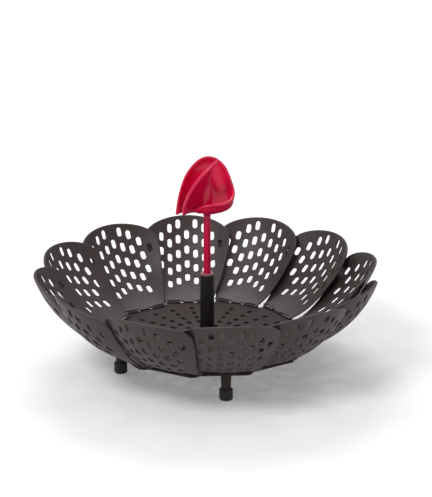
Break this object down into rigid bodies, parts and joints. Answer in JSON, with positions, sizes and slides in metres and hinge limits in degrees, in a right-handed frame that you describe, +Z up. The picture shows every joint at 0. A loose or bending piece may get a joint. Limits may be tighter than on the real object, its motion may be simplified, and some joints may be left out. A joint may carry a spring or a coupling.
{
  "type": "folding steamer basket",
  "caption": "Folding steamer basket: spoon-shaped slotted petals hinged round a perforated floor close into a bud; a telescoping leaf-shaped handle stands on a centre tube.",
  "frame": {"origin": "middle of the resting plane of the feet, under the centre tube", "axes": "+Z up along the centre tube; -Y is the front seen in the picture, +X its right"},
  "size_m": [0.2788, 0.2788, 0.1797],
  "materials": {
    "petal_plastic": "fine matte, slightly warm dark grey nylon",
    "floor_plastic": "fine matte dark grey nylon",
    "tube_plastic": "satin near-black nylon",
    "collar_plastic": "pale pink moulded plastic",
    "handle_plastic": "semi-gloss crimson plastic",
    "foot_rubber": "matte dark silicone"
  },
  "bodies": {
    "base": {"base_plate": "floor_plastic", "foot_tip_01": "foot_rubber", "foot_tip_02": "foot_rubber", "foot_tip_03": "foot_rubber", "foot_tip_04": "foot_rubber", "post_tube": "tube_plastic", "post_nut": "tube_plastic", "tube_collar": "collar_plastic"},
    "petal_01_body": {"petal_01": "petal_plastic"},
    "petal_02_body": {"petal_02": "petal_plastic"},
    "petal_03_body": {"petal_03": "petal_plastic"},
    "petal_04_body": {"petal_04": "petal_plastic"},
    "petal_05_body": {"petal_05": "petal_plastic"},
    "petal_06_body": {"petal_06": "petal_plastic"},
    "petal_07_body": {"petal_07": "petal_plastic"},
    "petal_08_body": {"petal_08": "petal_plastic"},
    "petal_09_body": {"petal_09": "petal_plastic"},
    "petal_10_body": {"petal_10": "petal_plastic"},
    "petal_11_body": {"petal_11": "petal_plastic"},
    "petal_12_body": {"petal_12": "petal_plastic"},
    "handle": {"handle_stem": "handle_plastic", "stem_stop": "tube_plastic", "handle_grip": "handle_plastic"}
  },
  "joints": [
    {"name": "petal_01_hinge", "type": "hinge", "parent": "base", "child": "petal_01_body", "pos_m": [-0.01609, 0.07734, 0.0268], "axis": [0.9992, 0.0393, 0], "range_deg": [0, 80]},
    {"name": "petal_02_hinge", "type": "hinge", "parent": "base", "child": "petal_02_body", "pos_m": [0.02474, 0.07503, 0.0268], "axis": [0.885, -0.4656, 0], "range_deg": [0, 80]},
    {"name": "petal_03_hinge", "type": "hinge", "parent": "base", "child": "petal_03_body", "pos_m": [0.05894, 0.0526, 0.0268], "axis": [0.5336, -0.8457, 0], "range_deg": [0, 80]},
    {"name": "petal_04_hinge", "type": "hinge", "parent": "base", "child": "petal_04_body", "pos_m": [0.07734, 0.01609, 0.0268], "axis": [0.0393, -0.9992, 0], "range_deg": [0, 80]},
    {"name": "petal_05_hinge", "type": "hinge", "parent": "base", "child": "petal_05_body", "pos_m": [0.07503, -0.02474, 0.0268], "axis": [-0.4656, -0.885, 0], "range_deg": [0, 80]},
    {"name": "petal_06_hinge", "type": "hinge", "parent": "base", "child": "petal_06_body", "pos_m": [0.0526, -0.05894, 0.0268], "axis": [-0.8457, -0.5336, 0], "range_deg": [0, 80]},
    {"name": "petal_07_hinge", "type": "hinge", "parent": "base", "child": "petal_07_body", "pos_m": [0.01609, -0.07734, 0.0268], "axis": [-0.9992, -0.0393, 0], "range_deg": [0, 80]},
    {"name": "petal_08_hinge", "type": "hinge", "parent": "base", "child": "petal_08_body", "pos_m": [-0.02474, -0.07503, 0.0268], "axis": [-0.885, 0.4656, 0], "range_deg": [0, 80]},
    {"name": "petal_09_hinge", "type": "hinge", "parent": "base", "child": "petal_09_body", "pos_m": [-0.05894, -0.0526, 0.0268], "axis": [-0.5336, 0.8457, 0], "range_deg": [0, 80]},
    {"name": "petal_10_hinge", "type": "hinge", "parent": "base", "child": "petal_10_body", "pos_m": [-0.07734, -0.01609, 0.0268], "axis": [-0.0393, 0.9992, 0], "range_deg": [0, 80]},
    {"name": "petal_11_hinge", "type": "hinge", "parent": "base", "child": "petal_11_body", "pos_m": [-0.07503, 0.02474, 0.0268], "axis": [0.4656, 0.885, 0], "range_deg": [0, 80]},
    {"name": "petal_12_hinge", "type": "hinge", "parent": "base", "child": "petal_12_body", "pos_m": [-0.0526, 0.05894, 0.0268], "axis": [0.8457, 0.5336, 0], "range_deg": [0, 80]},
    {"name": "handle_slide", "type": "slide", "parent": "base", "child": "handle", "axis": [0, 0, 1], "range_m": [-0.048, 0]}
  ],
  "couplings": [
    {"joint": "petal_02_hinge", "follows": "petal_01_hinge", "ratio": 1},
    {"joint": "petal_03_hinge", "follows": "petal_01_hinge", "ratio": 1},
    {"joint": "petal_04_hinge", "follows": "petal_01_hinge", "ratio": 1},
    {"joint": "petal_05_hinge", "follows": "petal_01_hinge", "ratio": 1},
    {"joint": "petal_06_hinge", "follows": "petal_01_hinge", "ratio": 1},
    {"joint": "petal_07_hinge", "follows": "petal_01_hinge", "ratio": 1},
    {"joint": "petal_08_hinge", "follows": "petal_01_hinge", "ratio": 1},
    {"joint": "petal_09_hinge", "follows": "petal_01_hinge", "ratio": 1},
    {"joint": "petal_10_hinge", "follows": "petal_01_hinge", "ratio": 1},
    {"joint": "petal_11_hinge", "follows": "petal_01_hinge", "ratio": 1},
    {"joint": "petal_12_hinge", "follows": "petal_01_hinge", "ratio": 1}
  ]
}
